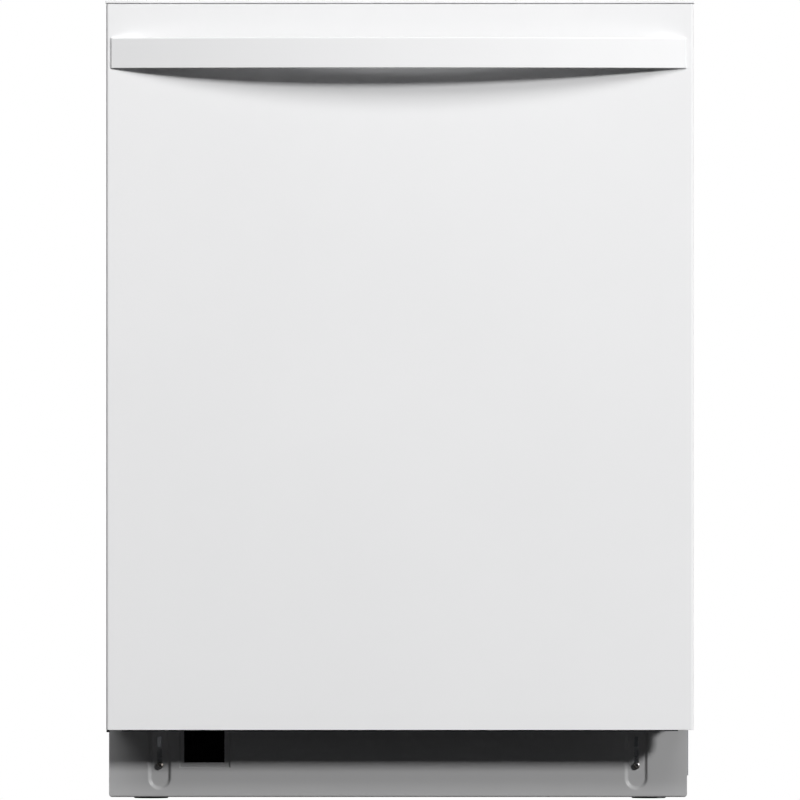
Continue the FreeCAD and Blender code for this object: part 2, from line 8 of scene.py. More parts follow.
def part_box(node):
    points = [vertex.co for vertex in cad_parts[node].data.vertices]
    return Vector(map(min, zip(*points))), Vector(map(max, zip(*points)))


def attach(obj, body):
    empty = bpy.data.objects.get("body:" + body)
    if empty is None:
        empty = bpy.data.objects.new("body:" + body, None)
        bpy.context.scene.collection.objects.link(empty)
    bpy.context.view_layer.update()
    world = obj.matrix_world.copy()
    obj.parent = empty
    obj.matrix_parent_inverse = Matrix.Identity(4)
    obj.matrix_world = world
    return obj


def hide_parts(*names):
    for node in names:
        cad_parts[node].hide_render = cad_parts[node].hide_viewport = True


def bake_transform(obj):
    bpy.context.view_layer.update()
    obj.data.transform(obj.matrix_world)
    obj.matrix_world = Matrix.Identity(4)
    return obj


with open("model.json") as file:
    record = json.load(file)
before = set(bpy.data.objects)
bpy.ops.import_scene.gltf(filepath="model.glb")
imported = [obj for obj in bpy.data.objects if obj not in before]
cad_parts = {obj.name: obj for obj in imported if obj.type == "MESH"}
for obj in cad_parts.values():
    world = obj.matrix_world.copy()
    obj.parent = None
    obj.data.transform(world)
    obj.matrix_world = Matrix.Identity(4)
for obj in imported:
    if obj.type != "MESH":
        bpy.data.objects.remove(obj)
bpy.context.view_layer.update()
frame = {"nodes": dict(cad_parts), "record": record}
NODES = frame["nodes"]
SCENE = bpy.context.scene


# -------- camera, stage and light
CAMERA_HEIGHT = 0.408
CAMERA_DISTANCE = 18.0
CAMERA_SIDE = 0.0001
SENSOR = 36.0
VIEW_WIDTH = 0.8151
AIM_HEIGHT = 0.45
FLOOR_HALF = 20
FLOOR_DROP = 0.0005
FLOOR_GREY = (0.05, 0.05, 0.052, 1)
FILL_COLOR = (0.94, 0.97, 1, 1)
FILL_STRENGTH = 0.055
WHITE = (1, 1, 1, 1)
DOOR_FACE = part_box("door_outer_panel")[0].y


def placed(name, data):
    """A new object with this data, in the scene."""
    obj = bpy.data.objects.new(name, data)
    SCENE.collection.objects.link(obj)
    return obj


def ring(a0, a1, b0, b1):
    """The four corners of a rectangle, in order."""
    return (a0, b0), (a1, b0), (a1, b1), (a0, b1)


def make_camera():
    data = bpy.data.cameras.new("camera")
    data.sensor_width = SENSOR
    data.lens = SENSOR * CAMERA_DISTANCE / VIEW_WIDTH
    data.clip_start = 0.1
    data.clip_end = 200.0
    cam = placed("camera", data)
    cam.location = (CAMERA_SIDE, DOOR_FACE - CAMERA_DISTANCE, CAMERA_HEIGHT)
    cam.rotation_euler = (math.radians(90), 0, 0)
    SCENE.camera = cam


def softbox(name, place, size, power):
    """A soft light at place, facing the door. size is (sideways, upright) in metres, power in watts."""
    data = bpy.data.lights.new(name, "AREA")
    data.shape = "RECTANGLE"
    data.size, data.size_y = size
    data.energy = power
    light = placed(name, data)
    light.location = place
    away = (Vector(place) - Vector((0, DOOR_FACE, AIM_HEIGHT))).normalized()
    along = Vector((1, 0, 0))
    along = (along - away * along.dot(away)).normalized()
    across = away.cross(along)
    light.matrix_world = Matrix.Translation(place) @ Matrix((along, across, away)).transposed().to_4x4()
    light.visible_camera = False


def ray_switch(tree, output, camera_kind, other_kind):
    """Shows one shader to the camera and another to every other ray; returns both."""
    tree.nodes.clear()
    out, mix, path, seen, other = [
        tree.nodes.new("ShaderNode" + kind)
        for kind in (output, "MixShader", "LightPath", camera_kind, other_kind)
    ]
    tree.links.new(path.outputs["Is Camera Ray"], mix.inputs[0])
    tree.links.new(other.outputs[0], mix.inputs[1])
    tree.links.new(seen.outputs[0], mix.inputs[2])
    tree.links.new(mix.outputs[0], out.inputs[0])
    return seen, other


def make_world():
    world = bpy.data.worlds.new("world")
    world.use_nodes = True
    seen, fill = ray_switch(world.node_tree, "OutputWorld", "Background", "Background")
    seen.inputs["Color"].default_value = WHITE
    fill.inputs["Color"].default_value = FILL_COLOR
    fill.inputs["Strength"].default_value = FILL_STRENGTH
    SCENE.world = world


def make_floor():
    mesh = bpy.data.meshes.new("floor")
    corners = [(x, y, -FLOOR_DROP) for x, y in ring(-FLOOR_HALF, FLOOR_HALF, -FLOOR_HALF, FLOOR_HALF)]
    mesh.from_pydata(corners, [], [(0, 1, 2, 3)])
    floor = placed("floor", mesh)
    mat = bpy.data.materials.new("pale_floor")
    mat.use_nodes = True
    _, matt = ray_switch(mat.node_tree, "OutputMaterial", "Emission", "BsdfDiffuse")
    matt.inputs["Color"].default_value = FLOOR_GREY
    mesh.materials.append(mat)


make_camera()
make_world()
make_floor()
SCENE.view_settings.view_transform = "Standard"
LIGHTS = (
    ("key_right", (7.2, DOOR_FACE - 7.0, 4.25), (1.1, 1.1), 850),
    ("strip_above", (-0.4, DOOR_FACE - 3.2, 3.66), (6.0, 1.5), 134),
    ("rear_left", (-1.6, 3.2, 2.3), (2.2, 2.2), 130),
    ("rear_right", (2.0, 2.8, 2.6), (2.2, 2.2), 110),
)
for light_row in LIGHTS:
    softbox(*light_row)


# -------- materials
class Shader:
    """One procedural material: small helpers that add texture nodes in object space."""

    def __init__(self, name, rough=0.5, metallic=0.0):
        self.mat = bpy.data.materials.new(name)
        self.mat.use_nodes = True
        self.tree = self.mat.node_tree
        self.bsdf = self.tree.nodes["Principled BSDF"]
        self.bsdf.inputs["Metallic"].default_value = metallic
        self.bsdf.inputs["Roughness"].default_value = rough
        self.coord = self.tree.nodes.new("ShaderNodeTexCoord").outputs["Object"]
        self.normal = None

    def feed(self, socket, value):
        """Sets an input, or links it when the value is another node's output."""
        if isinstance(value, bpy.types.NodeSocket):
            self.tree.links.new(value, socket)
        else:
            socket.default_value = value

    def feed_named(self, node, values):
        for key, value in values.items():
            self.feed(node.inputs[key.replace("_", " ")], value)

    def node(self, kind, **values):
        node = self.tree.nodes.new("ShaderNode" + kind)
        self.feed_named(node, values)
        return node

    def set(self, **values):
        self.feed_named(self.bsdf, values)
        return self

    def stretch(self, x, y, z):
        return self.node("Mapping", Scale=(x, y, z), Vector=self.coord).outputs["Vector"]

    def noise(self, scale, detail=3.0, vector=None):
        return self.node("TexNoise", Scale=scale, Detail=detail, Vector=vector or self.coord).outputs["Fac"]

    def cells(self, scale, vector=None, feature="F1", output="Distance"):
        node = self.node("TexVoronoi", Scale=scale, Vector=vector or self.coord)
        node.feature = feature
        return node.outputs[output]

    def remap(self, fac, low, high, start=0.3, end=0.7):
        node = self.node("MapRange", From_Min=start, From_Max=end, To_Min=low, To_Max=high, Value=fac)
        return node.outputs["Result"]

    def math(self, kind, a, b):
        node = self.node("Math")
        node.operation = kind
        self.feed(node.inputs[0], a)
        self.feed(node.inputs[1], b)
        return node.outputs[0]

    def blend(self, fac, a, b):
        node = self.node("Mix")
        node.data_type = "RGBA"
        for index, value in ((0, fac), (6, a), (7, b)):
            self.feed(node.inputs[index], (*value, 1) if isinstance(value, tuple) else value)
        return node.outputs[2]

    def weighted(self, a, share_a, b, share_b):
        return self.math("ADD", self.math("MULTIPLY", a, share_a), self.math("MULTIPLY", b, share_b))

    def color(self, output):
        return self.set(Base_Color=output)

    def patches(self, fac, dark, light, start=0.3, end=0.7):
        """Colours the surface between two tones as fac goes from start to end."""
        return self.color(self.blend(self.remap(fac, 0.0, 1.0, start, end), dark, light))

    def rough(self, output):
        return self.set(Roughness=output)

    def use_normal(self, node):
        self.normal = node.outputs["Normal"]
        return self.set(Normal=self.normal)

    def bump(self, height, strength, distance):
        node = self.node("Bump", Strength=strength, Distance=distance, Height=height)
        if self.normal is not None:
            self.feed(node.inputs["Normal"], self.normal)
        return self.use_normal(node)

    def soft_edges(self, radius):
        node = self.node("Bevel", Radius=radius)
        node.samples = 4
        return self.use_normal(node)


def tone(color, factor):
    return tuple(min(1.0, c * factor) for c in color)


def enamel(name, color, shade=1.0, rough=(0.30, 0.38)):
    """Baked enamel on sheet steel: faint orange peel, slight unevenness, thin clear gloss."""
    s = Shader(name).soft_edges(0.0007)
    s.patches(s.noise(5, 4), tone(color, 0.985 * shade), tone(color, shade))
    s.rough(s.remap(s.noise(40, 5), *rough))
    s.bump(s.noise(420, 2), 0.10, 0.0004)
    s.bump(s.noise(9, 2), 0.05, 0.0015)
    return s.set(Coat_Weight=0.15, Coat_Roughness=0.2, Specular_IOR_Level=0.4).mat


def moulding(name, color, rough=(0.42, 0.58), gloss=0.45):
    """Injection-moulded plastic: fine spark grain, rub marks and slight flow unevenness."""
    s = Shader(name).soft_edges(0.0005)
    s.patches(s.noise(14, 4), tone(color, 0.93), tone(color, 1.04))
    rubs = s.noise(1, 4, s.stretch(30, 30, 220))
    s.rough(s.remap(s.weighted(rubs, 0.5, s.noise(60, 4), 0.5), *rough))
    s.bump(s.noise(900, 2), 0.35, 0.00025)
    return s.set(Specular_IOR_Level=gloss).mat


def brushed(name, color):
    """Stainless sheet: long fine brushing, faint smears and a slightly oil-canned surface."""
    s = Shader(name, metallic=1.0).soft_edges(0.0006)
    lines = s.noise(1, 5, s.stretch(6, 900, 900))
    s.patches(s.noise(7, 5), tone(color, 0.86), tone(color, 1.05))
    s.rough(s.remap(s.weighted(lines, 0.6, s.noise(11, 4), 0.4), 0.22, 0.40))
    s.bump(lines, 0.10, 0.0002)
    s.bump(s.noise(4, 2), 0.04, 0.006)
    return s.set(Anisotropic=0.5).mat


def zinc(name, color):
    """Galvanised sheet: flat spangles, each with its own tone."""
    s = Shader(name, metallic=0.9).soft_edges(0.0006)
    spangle = s.cells(210, output="Color")
    s.patches(spangle, tone(color, 0.93), tone(color, 1.08), 0, 1)
    s.rough(s.remap(s.weighted(spangle, 0.5, s.noise(25, 5), 0.5), 0.42, 0.56))
    s.bump(s.cells(210, feature="DISTANCE_TO_EDGE"), 0.06, 0.0002)
    s.bump(s.noise(300, 3), 0.12, 0.0002)
    return s.mat


def dark_steel(name, color):
    """Oiled spring and screw steel: drawn marks, brown tint in random patches."""
    s = Shader(name, metallic=1.0).soft_edges(0.0003)
    s.patches(s.noise(160, 5), color, (0.20, 0.17, 0.14))
    s.rough(s.remap(s.noise(400, 4), 0.28, 0.5))
    s.bump(s.noise(700, 4), 0.25, 0.0002)
    return s.mat


def felt(name, color):
    """Needled felt: matted fibres at two scales, flecks of other colours, soft sheen."""
    s = Shader(name, rough=0.95)
    fibres = s.noise(1, 6, s.stretch(260, 900, 420))
    cross = s.noise(1, 6, s.stretch(800, 240, 700))
    mixed = s.math("MAXIMUM", fibres, cross)
    base = s.blend(s.remap(mixed, 0.0, 1.0, 0.4, 0.75), tone(color, 0.55), tone(color, 1.35))
    flecks = s.remap(s.noise(170, 2), 0.0, 1.0, 0.66, 0.72)
    s.color(s.blend(flecks, base, (0.55, 0.50, 0.42)))
    s.bump(mixed, 0.9, 0.0012)
    s.bump(s.noise(45, 4), 0.5, 0.003)
    return s.set(Sheen_Weight=0.35, Sheen_Roughness=0.6, Specular_IOR_Level=0.2).mat


def rubber(name, color, scale=500):
    """Moulded rubber: dull, slightly dusty, faint mould texture."""
    s = Shader(name).soft_edges(0.0005)
    s.patches(s.noise(25, 5), tone(color, 0.8), tone(color, 1.6))
    s.rough(s.remap(s.noise(120, 4), 0.6, 0.85))
    s.bump(s.noise(scale, 3), 0.3, 0.0003)
    return s.set(Specular_IOR_Level=0.35).mat


def wire_coat(name, color):
    """Nylon dip coat on wire: waxy gloss with tiny runs and pits."""
    s = Shader(name)
    s.patches(s.noise(30, 4), tone(color, 0.9), tone(color, 1.08))
    s.rough(s.remap(s.noise(150, 4), 0.26, 0.42))
    s.bump(s.noise(350, 3), 0.25, 0.0004)
    return s.set(Coat_Weight=0.3, Coat_Roughness=0.25).mat


def smoked_window(name, color):
    """Smoked window over the display: near black, polished, with faint wipe marks."""
    s = Shader(name).soft_edges(0.0003)
    s.patches(s.noise(60, 4), color, tone(color, 2.0))
    s.rough(s.remap(s.noise(1, 5, s.stretch(40, 300, 40)), 0.05, 0.16))
    s.bump(s.noise(20, 2), 0.04, 0.0005)
    return s.set(IOR=1.5, Coat_Weight=0.6, Coat_Roughness=0.05).mat


RECORD_COLORS = {m["slot"]: tuple(m["base_color"]) for m in frame["record"]["materials"]}


def base(slot):
    return RECORD_COLORS[slot]


MAKERS = {
    "white_enamel": (enamel, {}),
    "white_plastic": (moulding, {"rough": (0.34, 0.46)}),
    "grey_plastic": (moulding, {}),
    "black_plastic": (moulding, {"rough": (0.38, 0.55)}),
    "stainless": (brushed, {}),
    "galvanised": (zinc, {}),
    "spring_steel": (dark_steel, {}),
    "felt": (felt, {}),
    "rubber_black": (rubber, {}),
    "rubber_grey": (rubber, {}),
    "bitumen": (rubber, {"scale": 120}),
    "rack_coat": (wire_coat, {}),
    "dark_glass": (smoked_window, {}),
}
FINISH = {slot: maker(slot, base(slot), **options) for slot, (maker, options) in MAKERS.items()}
SLOT_OF = {p["node"]: p["material_slot"] for p in frame["record"]["subparts"]}


def dress(obj, material):
    obj.data.materials.clear()
    obj.data.materials.append(material)


for node_name, node in NODES.items():
    dress(node, FINISH[SLOT_OF[node_name]])


def woven_tape(name, color):
    """Woven polyester tape: fine ribs along the run and a paler weft."""
    s = Shader(name, rough=0.8)
    ribs = s.cells(1, s.stretch(420, 900, 900))
    s.patches(ribs, tone(color, 0.7), tone(color, 1.25), 0.1, 0.8)
    s.bump(ribs, 0.8, 0.0006)
    return s.set(Sheen_Weight=0.3, Specular_IOR_Level=0.25).mat


HANDLE_PAINT = enamel("handle_paint", base("white_enamel"), 0.99)
# The handle bar's back faces take a darker copy of the white enamel: painted shade that dims the light
# bounced into the shadow under the bar.
HANDLE_BACK_PAINTED_SHADE = enamel("handle_back_painted_shade", base("white_enamel"), 0.45, (0.45, 0.6))
# The toe-kick takes a darker copy of the white enamel: painted shade for the shade under the door's overhang.
TOE_PAINTED_SHADE = enamel("toe_painted_shade", base("white_enamel"), 0.55, (0.34, 0.42))
# The vent's black plastic is darkened far below its own tone: the plastic's real black plus painted shade for
# the dark space behind the vent.
VENT_BLACK_AND_PAINTED_SHADE = moulding("vent_black_and_painted_shade", tone(base("black_plastic"), 0.12), rough=(0.6, 0.75), gloss=0.08)
WOVEN_TAPE = woven_tape("woven_tape", (0.62, 0.61, 0.58))


# -------- mesh helpers
def behind(d):
    """World Y of a point d millimetres behind the door's front face."""
    return DOOR_FACE + d / 1000


def spot(x, d, z):
    """A point from its across, depth and height in millimetres."""
    return Vector((x / 1000, behind(d), z / 1000))


def adopt(obj, body, slot_name, replaced=()):
    """The piece rides on a body, takes that slot's finish and may stand for CAD nodes."""
    if not obj.data.materials:
        obj.data.materials.append(FINISH[slot_name])
    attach(obj, body)
    if replaced:
        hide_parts(*replaced)
    return obj


def frame_about(axis):
    """The unit axis and two unit directions across it."""
    axis = Vector(axis).normalized()
    side = axis.orthogonal().normalized()
    return axis, side, axis.cross(side)


def build(name, verts, faces, crease=35):
    """A mesh object with outward normals, smooth except at edges sharper than crease degrees."""
    mesh = bpy.data.meshes.new(name)
    mesh.from_pydata([tuple(v) for v in verts], [], faces)
    bm = bmesh.new()
    bm.from_mesh(mesh)
    bmesh.ops.remove_doubles(bm, verts=bm.verts, dist=1e-6)
    bmesh.ops.recalc_face_normals(bm, faces=bm.faces)
    bm.to_mesh(mesh)
    bm.free()
    mesh.shade_smooth()
    mesh.set_sharp_from_angle(angle=math.radians(crease))
    return placed(name, mesh)


class Solid:
    """Collects closed shells, then makes one object of them."""

    def __init__(self):
        self.verts = []
        self.faces = []

    def add(self, verts, faces):
        start = len(self.verts)
        self.verts.extend(verts)
        self.faces.extend(tuple(start + i for i in face) for face in faces)

    def grid(self, rows, closed_rows=False, closed_columns=False, cap=False):
        """Quads over a list of equally long rows of points; cap closes the first and last row."""
        count = len(rows[0])
        faces = []
        for r in range(len(rows) - (0 if closed_rows else 1)):
            r2 = (r + 1) % len(rows)
            for c in range(count - (0 if closed_columns else 1)):
                c2 = (c + 1) % count
                faces.append((r * count + c, r * count + c2, r2 * count + c2, r2 * count + c))
        if cap:
            faces.append(tuple(range(count))[::-1])
            faces.append(tuple((len(rows) - 1) * count + c for c in range(count)))
        self.add([p for row in rows for p in row], faces)

    def loft(self, rows):
        """Closed sections joined one to the next, with both ends capped."""
        self.grid(rows, closed_columns=True, cap=True)

    def lathe(self, origin, axis, profile, segments=32):
        """Turns a profile of (radius, height) in millimetres about an axis through origin."""
        axis, side, other = frame_about(axis)
        rows = []
        for radius, height in profile:
            centre = origin + axis * height / 1000
            rows.append([
                centre + (side * math.cos(a) + other * math.sin(a)) * radius / 1000
                for a in (2 * math.pi * k / segments for k in range(segments))
            ])
        self.loft(rows)

    def block(self, low, high, bevel=0.5):
        """A bar with chamfered long and short edges, from two corners in millimetres (x, d, z)."""
        bevel = min([bevel] + [(b - a) * 0.45 for a, b in zip(low, high)])
        rows = []
        for z, inset in ((low[2], bevel), (low[2] + bevel, 0), (high[2] - bevel, 0), (high[2], bevel)):
            x0, x1 = low[0] + inset, high[0] - inset
            d0, d1 = low[1] + inset, high[1] - inset
            row = []
            for x, d, sx, sd in ((x0, d0, 1, 1), (x1, d0, -1, 1), (x1, d1, -1, -1), (x0, d1, 1, -1)):
                first, last = (x, d + sd * bevel, z), (x + sx * bevel, d, z)
                row.extend((first, last) if sx == sd else (last, first))
            rows.append([spot(*p) for p in row])
        self.loft(rows)

    def side_block(self, side, near, far, low, high, bevel):
        """A block on the left (side -1) or right (side 1), between two distances from the middle."""
        x0, x1 = sorted((side * near, side * far))
        self.block((x0, *low), (x1, *high), bevel)

    def sweep(self, path, profile, closed=False, up=None):
        """Sweeps a closed profile of (across, up) millimetres along a path of points."""
        rows = []
        count = len(path)
        for i, point in enumerate(path):
            before = path[i - 1] if (i or closed) else point
            after = path[(i + 1) % count] if (i < count - 1 or closed) else point
            run = (after - before).normalized()
            rise = up if up is not None else run.orthogonal().normalized()
            across = run.cross(rise).normalized()
            rows.append([point + (across * a + rise * b) / 1000 for a, b in profile])
        self.grid(rows, closed_rows=closed, closed_columns=True, cap=not closed)

    def piece(self, name, body, slot_name, replaced=(), crease=35):
        return adopt(build(name, self.verts, self.faces, crease), body, slot_name, replaced)


def bent(points, radius, steps=6, closed=False):
    """The corners of a run of points turned into arcs, as bent wire or pressed sheet has."""
    points = [Vector(p) for p in points]
    count = len(points)
    result = []
    for i, corner in enumerate(points):
        if not closed and i in (0, count - 1):
            result.append(corner)
            continue
        into = corner - points[i - 1]
        out = points[(i + 1) % count] - corner
        turn = into.angle(out)
        if turn < 0.02:
            result.append(corner)
            continue
        reach = min(radius * math.tan(turn / 2), into.length * 0.48, out.length * 0.48)
        r = reach / math.tan(turn / 2)
        start = corner - into.normalized() * reach
        inward = (out.normalized() - into.normalized()).normalized()
        centre = corner + inward * math.hypot(reach, r)
        spin = into.cross(out).normalized()
        arm = start - centre
        for k in range(steps + 1):
            result.append(centre + Matrix.Rotation(turn * k / steps, 3, spin) @ arm)
    return result


def tubes(name, runs, resolution=2):
    """Round wires as one mesh object; each run is (points, wire radius in mm, closed)."""
    curve = bpy.data.curves.new(name, "CURVE")
    curve.dimensions = "3D"
    thickest = max(run[1] for run in runs)
    curve.bevel_depth = thickest / 1000
    curve.bevel_resolution = resolution
    curve.use_fill_caps = True
    for points, radius, closed in runs:
        spline = curve.splines.new("POLY")
        spline.points.add(len(points) - 1)
        for target, point in zip(spline.points, points):
            target.co = (*point, 1)
            target.radius = radius / thickest
        spline.use_cyclic_u = closed
    source = placed(name + "_curve", curve)
    graph = bpy.context.evaluated_depsgraph_get()
    mesh = bpy.data.meshes.new_from_object(source.evaluated_get(graph))
    bpy.data.objects.remove(source)
    mesh.name = name
    mesh.shade_smooth()
    mesh.materials.clear()
    return placed(name, mesh)


def wires(name, runs, body, slot_name, replaced=()):
    """Bent wires that ride on one body."""
    obj = tubes(name, runs)
    obj.data.set_sharp_from_angle(angle=math.radians(60))
    return adopt(obj, body, slot_name, replaced)


def ripple(a, b, seed):
    """Smooth noise between about -1 and 1."""
    return noise.noise(Vector((a, b, seed)))


def smooth_step(t):
    t = max(0.0, min(1.0, t))
    return t * t * (3 - 2 * t)


SCREW_SEGMENTS = 32
SCREW_HEAD = ((1.0, -0.2, 0), (1.0, 0.25, 0), (0.9, 0.45, 0), (0.6, 0.6, 0), (0.5, 0.62, 0.0),
              (0.3, 0.63, 0.5), (0.12, 0.63, 0.75), (0.02, 0.63, 0.8))


def screw_head(solid, place, axis, radius=4.0):
    """A pan-head cross-recess screw: a domed head with a four-armed star pressed into it."""
    axis, side, other = frame_about(axis)
    rows = []
    for r, h, dip in SCREW_HEAD:
        row = []
        for k in range(SCREW_SEGMENTS):
            angle = 2 * math.pi * k / SCREW_SEGMENTS
            arm = abs(math.cos(2 * angle)) ** 6
            depth = dip * (arm if r > 0.2 else 1.0)
            spoke = side * math.cos(angle) + other * math.sin(angle)
            row.append(place + (spoke * r + axis * (h - depth)) * radius / 1000)
        rows.append(row)
    solid.loft(rows)


def extent(node):
    """A CAD node's lowest and highest corner in millimetres, as (across, depth, height)."""
    return [(p.x * 1000, (p.y - DOOR_FACE) * 1000, p.z * 1000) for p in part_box(node)]


def centre_of(node):
    """Middle depth and height of a CAD node in millimetres."""
    low, high = extent(node)
    return (low[1] + high[1]) / 2, (low[2] + high[2]) / 2


def settle(obj):
    """Bakes an object's modifiers into its mesh."""
    graph = bpy.context.evaluated_depsgraph_get()
    mesh = bpy.data.meshes.new_from_object(obj.evaluated_get(graph))
    obj.modifiers.clear()
    obj.data = mesh
    return obj


# -------- door handle
HANDLE_SHEET = 5.0
HANDLE_FOOT = 28.0
HANDLE_TOP_EDGE = 1.0
HANDLE_LOW_EDGE = 0.5
HANDLE_END_D = -1.5
HANDLE_GAP = 0.05
HANDLE_STATIONS = 60
HANDLE_END_EDGE = 0.6


def handle_bar():
    """The bowed bar: an arc in plan, a thin plate between two solid feet."""
    low, high = extent("handle_bar")
    middle = (low[0] + high[0]) / 2
    half = (high[0] - low[0]) / 2
    rise = HANDLE_END_D - low[1]
    radius = (half ** 2 + rise ** 2) / (2 * rise)
    inner = half - HANDLE_FOOT
    stations = [inner * k / HANDLE_STATIONS for k in range(-HANDLE_STATIONS, HANDLE_STATIONS + 1)]
    feet = [(0.3, 0.75), (1.2, 0.25), (2.6, 0.0)]
    feet += [(HANDLE_FOOT - step, 0.0) for step in (HANDLE_FOOT / 2, 0.9, HANDLE_END_EDGE, 0.0)]
    arc = [math.radians(a) for a in (0, 22, 45, 68, 90)]
    rows = []

    def section(u, gap):
        front = low[1] + radius - math.sqrt(radius ** 2 - u ** 2)
        open_back = min(front + HANDLE_SHEET, -HANDLE_GAP)
        back = open_back * gap - HANDLE_GAP * (1 - gap)
        face = front + 0.7 * max(0.0, abs(u) - half + HANDLE_END_EDGE)
        row = []
        for edge, z, up in ((HANDLE_TOP_EDGE, high[2], 1), (HANDLE_LOW_EDGE, low[2], -1)):
            rim = [(face + edge * (1 - math.sin(a)), z - up * edge * (1 - math.cos(a))) for a in arc]
            rim.append((face, z - up * (edge + 0.4)))
            rim = rim if up > 0 else rim[::-1]
            row.extend(spot(middle + u, d, height) for d, height in rim)
        row.append(spot(middle + u, back, low[2] + 0.3))
        row.append(spot(middle + u, back, high[2] - 0.3))
        return row

    for extra, gap in reversed(feet):
        rows.append(section(-(inner + extra), gap))
    for u in stations:
        rows.append(section(u, 1.0))
    for extra, gap in feet:
        rows.append(section(inner + extra, gap))
    bar = Solid()
    bar.loft(rows)
    piece = bar.piece("handle_bow", "door", "white_enamel", ("handle_bar",), crease=50)
    dress(piece, HANDLE_PAINT)
    # Faces turned towards the door get the second, darker material: painted shade on the bar's back.
    piece.data.materials.append(HANDLE_BACK_PAINTED_SHADE)
    for face in piece.data.polygons:
        if face.normal.y > 0.5:
            face.material_index = 1


# -------- toe-kick
SHEET = 1.2
DISH_HALF = 11.9
DISH_FLOOR = 8.3
DISH_DEPTH = 2.2
VENT_STEP = 1.2
SCREW_RADIUS = 3.6
VENT_LOW = 37.4
VENT_HIGH = 78.0
TOE_CORNER = 3.2
TOE_FOLD = 1.6
SLOT_LOW = 33.8
SLOT_HIGH = 61.7
SLOT_RADIUS = 2.3
CORNER_REACH = 9.5
DISH_BASE = 9.4
DISH_TOP = 68.0
BORDER_TOP = 81.5
BORDER_LIP = 0.5
SLOT_GRID = 0.7
SLOT_GRID_HALF = 14
BAR_HALF = 0.45


def span(start, stop, step):
    """Even steps from start to stop, about step apart."""
    count = max(1, round((stop - start) / step))
    return [start + (stop - start) * k / count for k in range(count + 1)]


def lines(*groups):
    """Grid lines in order, without near doubles."""
    result = []
    for value in sorted(v for group in groups for v in group):
        if not result or value - result[-1] > 0.2:
            result.append(value)
    return result


